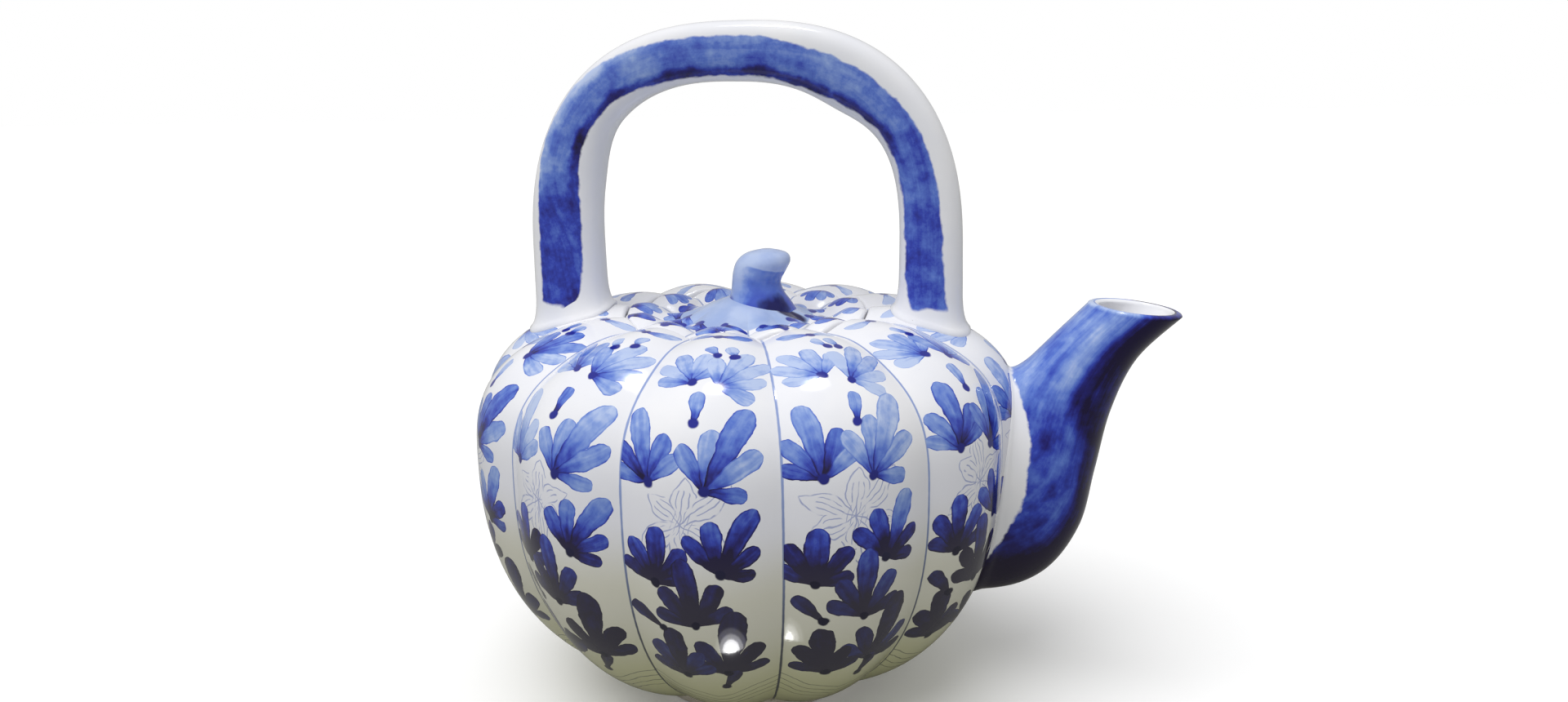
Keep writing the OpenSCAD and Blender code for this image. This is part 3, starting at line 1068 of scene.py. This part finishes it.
def ink(graph, laid, lobe, depth):
    """Colour of the strokes about a depth of blue: darker where the brush landed and along the
    pooled edges, with soft streaks, and different for each fan and stroke."""
    across, along, number = laid.parts()
    fan = (number / STROKES_PER_FAN).math("FLOOR")
    fan_chance = graph.dice(graph.join(fan, lobe, 3.0)) - 0.5
    chance = graph.dice(graph.join(number, lobe)) - 0.5
    rim = graph.curve(along, PETAL) - abs(across)
    pooled = rim.ease(0.20, 0.02)
    landed = along.ease(0.6, 0.0)
    core = rim.ease(0.3, 0.75) * along.ease(0.85, 0.3)
    streaks = graph.noise(graph.join(across * 1.4 + number * 3.7, along * 0.6, lobe * 5.1), 1.5, 3.0) - 0.5
    clouds = graph.cloud(0.4, 3.0)
    depth = depth + pooled * 0.22 + landed * 0.48 + core * 0.08 + fan_chance * 0.24 + chance * 0.36
    return graph.ramp(depth + streaks * 0.5 + clouds * 0.5, COBALT)


def wobble(graph, place, amount, scale):
    """Moves the place on the lobe as an unsteady hand does."""
    waves = graph.noise(graph.position(), scale, 1.5, output=1)
    return place.vector("ADD", waves.spread(amount / 2))


def line_flower(graph, place, lobe):
    """Thin unsteady outlines of a flower of narrow pointed petals with scribbled veins, from 0 to 1."""
    middle = (-3.4, 62.5, 0)
    petals, reach, half_width = 6, 13.5, 2.9
    scribble = wobble(graph, place, 1.8, 0.22)
    x, y, _ = scribble.vector("SUBTRACT", middle).parts()
    turn = x.math("ARCTAN2", y * -1)
    number = (turn * (petals / TURN)).math("ROUND")
    chance = graph.dice(graph.join(number, lobe, 7.0))
    local = turn - number * (TURN / petals) + (chance - 0.5) * 0.45
    r = (x * x + y * y).math("SQRT")
    long = reach * (0.68 + chance * 0.4)
    along = r * local.math("COSINE") / long
    across = abs(r * local.math("SINE"))
    outline = graph.curve(along, [(0, 0.2), (0.2, 0.5), (0.5, 1), (0.75, 0.66), (1, 0)]) * half_width
    edge = abs(outline - across).ease(0.26, 0.08) * along.ease(1.02, 0.98)
    vein = across.ease(0.22, 0.06) * along.ease(0.74, 0.70)
    side_vein = abs(across - outline * 0.5).ease(0.2, 0.06) * abs(along - 0.5).ease(0.22, 0.16)
    hatch = ((x + y * 0.4) * 5.0).math("SINE").ease(0.8, 0.97) * r.ease(3.4, 2.6)
    drawn = edge.math("MAXIMUM", vein).math("MAXIMUM", side_vein).math("MAXIMUM", hatch)
    return drawn * graph.noise(graph.position(), 0.3, 2.0).ease(0.30, 0.48)


def foot_waves(across, down):
    """Thin nested arches that run round the pot above its foot, from 0 to 1."""
    slope, spacing, first, last = 0.42, 2.6, 117, 127
    level = down + abs(across) * slope - (across * 0.5).math("SINE") * 0.5
    lines = abs((level / spacing).math("FRACT") - 0.5).ease(0.10, 0.03)
    return lines * level.ease(first - 0.5, first + 0.5) * level.ease(last + 0.5, last - 0.5)


def lobe_parts(graph):
    """Mm to the nearest groove, and the whole number of the lobe, on which its chances depend."""
    to_groove, number, _ = graph.uv("to_groove").parts()
    return to_groove, number.math("ROUND")


# Where the body's tones change, from and to, in mm down from the mouth. The brushwork deepens downwards, as
# denser cobalt in the upper and middle rows and as painted shade in the lower rows, where it is also greyed.
# The ground darkens as painted shade, bluish, then grey, then olive near the foot, where it is also a
# painted reflection of a warm surface. The groove lines darken as painted shade, and the dots darken partly
# as painted shade.
UPPER_PAINT, MIDDLE_PAINT, LOWER_PAINT_SHADE = (26, 50), (54, 73), (66, 86)
BLUISH_SHADE_GROUND, GREY_SHADE_GROUND, OLIVE_SHADE_AND_REFLECTION = (40, 70), (62, 84), (88, 122)
LINES_INTO_SHADE, DOTS_INTO_SHADE = (50, 104), (40, 80)

# Half width of the line along a groove, to where it is full, in mm
BODY_LINE, LID_LINE = (0.42, 0.18), (0.36, 0.14)


def painted_body_material():
    """White glaze, with cobalt fans, a line-drawn flower and groove lines on every lobe, all darkened
    downwards by painted shade.
    """
    graph = Graph("painted_glaze")
    bare = graph.uv("on_lobe")
    to_groove, lobe = lobe_parts(graph)
    place = wobble(graph, wobble(graph, bare, 2.4, 0.05), 1.1, 0.3)
    laid, dots = lay_fans(graph, place, lobe, BODY_FANS)
    across, down, _ = place.parts()
    # Painted shade: the lower strokes are deepened and greyed.
    low = down.ease(*LOWER_PAINT_SHADE)
    depth = down.ease(*UPPER_PAINT) * 0.20 + down.ease(*MIDDLE_PAINT) * 0.36 + low * 0.2 + 0.10
    painted = graph.mix(low * 0.75, ink(graph, laid, lobe, depth), srgb(58, 55, 68))
    # Painted shade: the ground turns bluish, then grey, then olive near the foot, where the olive is also a
    # painted reflection of a warm surface.
    ground = graph.mix(down.ease(*BLUISH_SHADE_GROUND), white_ground(graph), srgb(230, 231, 240))
    ground = graph.mix(down.ease(*GREY_SHADE_GROUND), ground, srgb(216, 215, 202))
    ground = graph.mix(down.ease(*OLIVE_SHADE_AND_REFLECTION), ground, srgb(202, 202, 158))
    inside = bare.parts()[1] < 0
    ground = graph.mix(inside, ground, WHITE)
    # Painted shade: the groove lines darken from pale blue to near black downwards.
    line_colour_into_shade = graph.mix(down.ease(*LINES_INTO_SHADE), srgb(130, 152, 208), srgb(38, 44, 66))
    line = (to_groove + graph.cloud(0.4, 2.0) * 0.2).ease(*BODY_LINE)
    drawn = line_flower(graph, place, lobe).math("MAXIMUM", foot_waves(across, down))
    # Painted shade: the drawn lines grey lower down.
    colour = graph.mix(drawn * 0.66, ground, graph.mix(low, srgb(110, 128, 192), srgb(60, 66, 80)))
    colour = graph.mix(line * (1 - inside) * 0.9, colour, line_colour_into_shade)
    colour = graph.mix(laid.parts()[2] > 0.5, colour, painted)
    # The dots darken downwards, partly as painted shade.
    dark = graph.mix(down.ease(*DOTS_INTO_SHADE), srgb(36, 42, 142), srgb(24, 22, 48))
    return glaze(graph, graph.mix(dots, colour, dark))


LID_FANS = [
    Fan(-1.5, 17.5, [(120, 8), (150, 5.5)]),
    Fan(4, 19.5, [(-95, 7.5)]),
    Fan(1.6, 32, [(-66, 7), (-36, 8), (-8, 8.5), (24, 7)]),
]

# A stain on the lid beside the stem, as tall as need be: its middle and its half size, in mm
LID_STAIN = ((12.2, -5.4, 0), (4.4, 2.6, 1e6))
DISC_R = 18.8                       # outer radius of the washed disc round the stem, mm


def painted_lid_material():
    """A pale washed disc round the stem, small leaves about it and a fan on each lobe's brim."""
    graph = Graph("painted_lid_glaze")
    bare = graph.uv("on_lobe")
    to_groove, lobe = lobe_parts(graph)
    place = wobble(graph, bare, 1.6, 0.12)
    laid, dots = lay_fans(graph, place, lobe, LID_FANS)
    _, out, _ = place.parts()
    wash = out.ease(DISC_R, DISC_R - 0.8) * (bare.parts()[1] > 0)
    tone = graph.noise(graph.position(), 0.12, 3.0).ease(0.3, 0.7)
    washed = graph.mix(tone, srgb(158, 178, 220), srgb(184, 200, 232))
    line = to_groove.ease(*LID_LINE) * out.ease(DISC_R - 1.8, DISC_R + 0.2)
    colour = graph.mix(line * 0.8, white_ground(graph), srgb(126, 146, 196))
    colour = graph.mix(wash, colour, washed)
    colour = graph.mix(laid.parts()[2] > 0.5, colour, ink(graph, laid, lobe, 0.36))
    colour = graph.mix(dots, colour, srgb(46, 54, 150))
    stain = (graph.from_oval(*LID_STAIN) + (tone - 0.5) * 0.4).ease(1.15, 0.75) * (bare.parts()[1] > 0)
    return glaze(graph, graph.mix(stain, colour, srgb(30, 26, 76)))


def spout_material():
    """Brushed cobalt from the root to the lip, with a bare white root and a white inside. Its upper side is
    paler and its underside and lower part darker, partly as denser cobalt and partly as painted light and
    painted shade.
    """
    graph = Graph("cobalt_glaze")
    _, _, z = graph.position().parts()
    from_body, ring, _ = graph.uv("from_body").parts()
    top_side, side, _ = graph.uv("round_spout").parts()
    streaks = graph.noise(graph.join(ring * 0.04, top_side * 6, side * 6), 0.6, 4.0, 0.6) - 0.5
    patches = graph.cloud(0.2, 4.0, 0.6)
    blots = graph.cloud(0.07, 3.0)
    # Painted light and shade, with denser cobalt: the cobalt darkens underneath and low down, and pales on
    # the upper side.
    bulge = z.ease(88, 68)
    under = (top_side + blots * 0.6 + bulge * 0.6).ease(0.3, -0.3)
    low = z.ease(52, 36)
    pale = z.ease(78, 92) * (1 - under)
    lip = ring.ease(SPOUT_STATIONS - 1, SPOUT_STATIONS + 2)
    depth = 0.53 + streaks * 0.9 + patches * 0.6 + blots * 0.7 + under * 0.5 + low * 0.3
    depth = depth - pale * 0.24 - lip * 0.3
    blue = graph.mix(low * 0.6, graph.ramp(depth, COBALT), srgb(46, 40, 54))
    bare_width, bare_z = 5.0, 66
    root = bare_width - abs(z - bare_z).ease(4, 32) * 5.6
    ragged = graph.cloud(0.3, 3.0) * 2.2
    covered = (from_body + ragged - root).ease(-0.4, 0.4)
    outside = ring > 0
    return glaze(graph, graph.mix(covered * outside, white_ground(graph), blue), SPOUT_IOR)


# The brushed band on the handle: its middle and its half width, in mm inwards from the handle's
# middle line, at mm along the handle from its top
BAND_MIDDLE = [
    (-106, -1.2), (-80, 0.9), (-50, -1.3), (-20, 1.1), (5, 1.6), (28, 3.8), (55, 2.2), (80, 1.9), (106, 0.3),
]
BAND_HALF = [(-106, 4.1), (-84, 5.8), (-50, 5.3), (-10, 5.0), (25, 5.0), (55, 4.4), (80, 4.9), (106, 5.1)]
BAND_END_Z, FACE_EDGE = (107.0, 108.2), (4.0, 5.4)   # heights where it ends, and mm from the plane y = 0


def handle_material():
    """A brushed cobalt band on the front and back faces of a white handle."""
    graph = Graph("banded_glaze")
    along, inwards, _ = graph.uv("on_handle").parts()
    _, y, z = graph.position().parts()
    frayed = graph.cloud(0.28, 4.0) * 1.7
    across = inwards - graph.profile(along, BAND_MIDDLE) + frayed
    half = graph.profile(along, BAND_HALF)
    ends = (z + frayed * 1.4 + along.ease(0, -40) * inwards * 0.3).ease(*BAND_END_Z)
    faces = abs(y).ease(*FACE_EDGE)
    band = (abs(across) - half).ease(0.35, -0.35) * faces * ends
    leg = along.ease(-60, -85)
    slanted = along + inwards * leg * 1.6
    around = inwards * 0.5 + along * leg * 0.05
    streaks = graph.noise(graph.join(slanted * 0.035, around, around * 0.31), 0.75, 4.0, 0.62) - 0.5
    mottle = graph.cloud(0.42, 4.0, 0.65)
    blots = graph.cloud(0.1, 3.0)
    inner = (across - half * 0.45 + blots * 3.0).ease(-0.4, 1.6)
    arched = along.ease(-75, -55) * along.ease(66, 46)
    watery = (across + half * 0.45 + blots * 3.0).ease(0.6, -2.6) * abs(along + 46).ease(30, 14)
    legs = abs(along).ease(40, 80)
    depth = 0.36 + streaks * 0.5 + mottle * 0.5 + blots * 0.8 + inner * arched * 0.42
    depth = depth + legs * 0.22 + leg * 0.08 - watery * 0.34
    return glaze(graph, graph.mix(band, white_ground(graph), graph.ramp(depth, COBALT)))


# Stains of thick cobalt round the stem, in mm on the lid: the middle and the half size of each
STEM_BLOT = ((8.6, -6.0, 107.6), (5.4, 5.0, 3.0))
STEM_SMEAR = ((-4.0, -4.0, 108.0), (2.2, 3.0, 2.2))
CAP_Z = 118.2                       # the painted shade on the stem stops above this height, so its cut end is paler


def stem_material():
    """Pale blue wash, deeper down the stem and darkened on its right side below the cut end as painted
    shade, with navy blots where it meets the lid.
    """
    graph = Graph("pale_cobalt_glaze")
    x, y, z = graph.position().parts()
    cloud = graph.cloud(0.2, 3.0)
    # Painted shade on the stem's right side, below its cut end.
    capped = (z + (x - 3) * 0.2 + cloud * 2.0).ease(CAP_Z + 0.4, CAP_Z - 0.4)
    shaded = (x - y * 0.25 + cloud * 6.0).ease(0.5, 5.0)
    depth = 0.03 + capped * shaded * 0.34 + z.ease(117, 110) * 0.14 + cloud * 0.4
    wash = graph.ramp(depth, COBALT)
    blot = (graph.from_oval(*STEM_BLOT) + cloud * 1.2).ease(1.25, 0.6)
    smear = (graph.from_oval(*STEM_SMEAR) + cloud * 1.2).ease(1.2, 0.6)
    colour = graph.mix(smear * 0.8, wash, srgb(48, 66, 168))
    return glaze(graph, graph.mix(blot, colour, srgb(24, 26, 88)))


# ---- studio ----

def make_floor():
    """A plain pale floor, wide enough to pass out of view. It throws back only about a third of the
    light, so that the underside of the pot stays in shade."""
    half = 6.0 / MM
    points = [(-half, -half, 0), (half, -half, 0), (half, half, 0), (-half, half, 0)]
    floor = plain_mesh("studio_floor", (points, [(0, 1, 2, 3)]))
    graph = Graph("studio_floor")
    pale = graph.signal("ShaderNodeBsdfPrincipled", {
        "Base Color": (0.95, 0.95, 0.95, 1),
        "Roughness": 0.9,
        "Emission Color": (1, 1, 1, 1),
        "Emission Strength": 0.08,
    })
    shaded = graph.signal("ShaderNodeBsdfDiffuse", {"Color": (0.36, 0.36, 0.33, 1)})
    seen = graph.signal("ShaderNodeLightPath", output="Is Camera Ray")
    both = graph.signal("ShaderNodeMixShader", {0: seen, 1: shaded, 2: pale})
    floor.data.materials.append(graph.finish(both))


def make_world(fill, backdrop):
    """Even white light from all round, with a brighter plain backdrop behind the pot."""
    world = bpy.data.worlds.new("studio")
    world.use_nodes = True
    tree = world.node_tree
    strength = tree.nodes.new("ShaderNodeMapRange")
    strength.inputs["To Min"].default_value = fill
    strength.inputs["To Max"].default_value = backdrop
    seen = tree.nodes.new("ShaderNodeLightPath")
    tree.links.new(seen.outputs["Is Camera Ray"], strength.inputs["Value"])
    background = tree.nodes["Background"]
    background.inputs["Color"].default_value = (1, 1, 1, 1)
    tree.links.new(strength.outputs[0], background.inputs["Strength"])
    bpy.context.scene.world = world


def direction(azimuth, elevation):
    """Direction to a place at an azimuth from the front, towards the spout, and an elevation."""
    azimuth, elevation = math.radians(azimuth), math.radians(elevation)
    return Vector((
        math.sin(azimuth) * math.cos(elevation),
        -math.cos(azimuth) * math.cos(elevation),
        math.sin(elevation),
    ))


def key_light(azimuth, elevation, power):
    """Soft light from a wide window, which lights the surfaces but shows in no reflection."""
    data = bpy.data.lights.new("key", "SUN")
    data.energy = power
    data.angle = math.radians(50)
    light = put("key", data)
    light.rotation_euler = direction(azimuth, elevation).to_track_quat("Z", "Y").to_euler()
    light.visible_glossy = False


# Ovals that make up a soft-edged glint, one behind the other: their size and brightness
GLINT_OVALS = [(1.2, 0.05), (0.9, 0.15), (0.62, 0.5), (0.34, 2.0)]
GLINT_STEP = 0.0001                 # metres between one oval and the next


def soft_glint(name, place, size, power):
    """A reflection in the glaze that is brightest in its middle."""
    for number, (share, brightness) in enumerate(GLINT_OVALS):
        oval = (size[0] * share, size[1] * share)
        layer = (place[0], place[1], place[2] + number * GLINT_STEP)
        glint(f"{name}_{number}", layer, oval, power * brightness * share ** 2)


def glint(name, place, size, power):
    """An oval light that shows only as a bright reflection in the glaze."""
    data = bpy.data.lights.new(name, "AREA")
    data.shape = "ELLIPSE"
    data.size, data.size_y = size
    data.energy = power
    light = put(name, data)
    light.location = place
    aim = Vector((0, 0, WAIST_Z * MM)) - Vector(place)
    light.rotation_euler = aim.to_track_quat("-Z", "Y").to_euler()
    light.visible_diffuse = False
    light.visible_camera = False


def make_camera():
    """Looks down a little from the front, turned a few degrees round the pot, with a slight tilt."""
    roll = math.radians(-1.0)
    target = Vector((10.0, 1.3, 93.7)) * MM
    distance = 326.9 * MM
    back = direction(azimuth=7.6, elevation=12.81)
    data = bpy.data.cameras.new("camera")
    data.lens = 26.98
    data.sensor_width = 36
    camera = put("camera", data)
    turn = (-back).to_track_quat("-Z", "Y").to_matrix() @ Matrix.Rotation(roll, 3, "Z")
    camera.matrix_world = Matrix.Translation(target + back * distance) @ turn.to_4x4()
    bpy.context.scene.camera = camera


make_camera()
make_floor()
make_world(fill=0.52, backdrop=1.0)
key_light(azimuth=-30, elevation=66, power=1.95)
soft_glint("ceiling_lamp", place=(-0.02, 0.10, 1.1), size=(0.31, 0.22), power=12)
soft_glint("table_glint", place=(0.010, -0.080, 0.001), size=(0.018, 0.026), power=0.035)

make_body()
make_foot()
make_gallery()
make_spout()
make_handle()
make_lid()
make_flange()
make_stem()

bpy.context.scene.view_settings.view_transform = "Standard"
